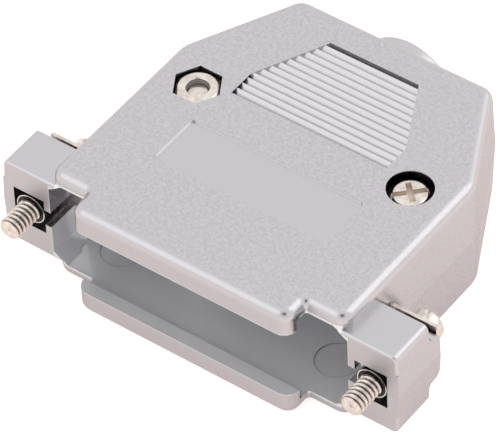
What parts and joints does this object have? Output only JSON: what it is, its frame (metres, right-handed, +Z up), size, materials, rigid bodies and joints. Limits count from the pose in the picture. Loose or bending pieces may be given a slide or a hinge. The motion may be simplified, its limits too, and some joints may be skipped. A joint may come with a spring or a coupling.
{
  "type": "d-sub hood",
  "caption": "Two-part plated hood for a 25-way connector, with captive jackscrews in the ears, a ridged thumb grip and a straight cable outlet at the back.",
  "frame": {"origin": "midway between the two jackscrew axes, on the flat front faces of the ears, where the connector flange seats", "axes": "+X from the left jackscrew to the right one seen from above with the mouth towards the viewer, +Y from the connector mouth to the cable outlet, +Z up, square to the parting plane"},
  "size_m": [0.0544, 0.0455, 0.0164],
  "materials": {
    "shell_plating": "satin plated, fine grain on the broad faces",
    "nickel_steel": "bright nickel",
    "zinc_steel": "dull zinc",
    "ring_black": "gloss black"
  },
  "bodies": {
    "hood": {"upper_shell": "shell_plating", "lower_shell": "shell_plating", "assembly_screw_left": "nickel_steel", "assembly_screw_right": "nickel_steel", "assembly_nut_left": "nickel_steel", "assembly_nut_right": "nickel_steel", "clamp_bar_upper": "zinc_steel", "clamp_bar_lower": "zinc_steel", "clamp_screw_left": "nickel_steel", "clamp_screw_right": "nickel_steel", "clamp_nut_left": "nickel_steel", "clamp_nut_right": "nickel_steel"},
    "plate_left": {"seat_plate_left": "nickel_steel"},
    "plate_right": {"seat_plate_right": "nickel_steel"},
    "screw_left": {"jackscrew_left": "nickel_steel", "retaining_ring_left": "ring_black"},
    "screw_right": {"jackscrew_right": "nickel_steel", "retaining_ring_right": "ring_black"}
  },
  "joints": [
    {"name": "draw_left", "type": "slide", "parent": "hood", "child": "plate_left", "axis": [0, 1, 0], "range_m": [0, 0.0037]},
    {"name": "turn_left", "type": "hinge", "parent": "plate_left", "child": "screw_left", "pos_m": [-0.02352, 0, 0], "axis": [0, 1, 0], "continuous": true},
    {"name": "draw_right", "type": "slide", "parent": "hood", "child": "plate_right", "axis": [0, 1, 0], "range_m": [0, 0.0037]},
    {"name": "turn_right", "type": "hinge", "parent": "plate_right", "child": "screw_right", "pos_m": [0.02352, 0, 0], "axis": [0, 1, 0], "continuous": true}
  ]
}
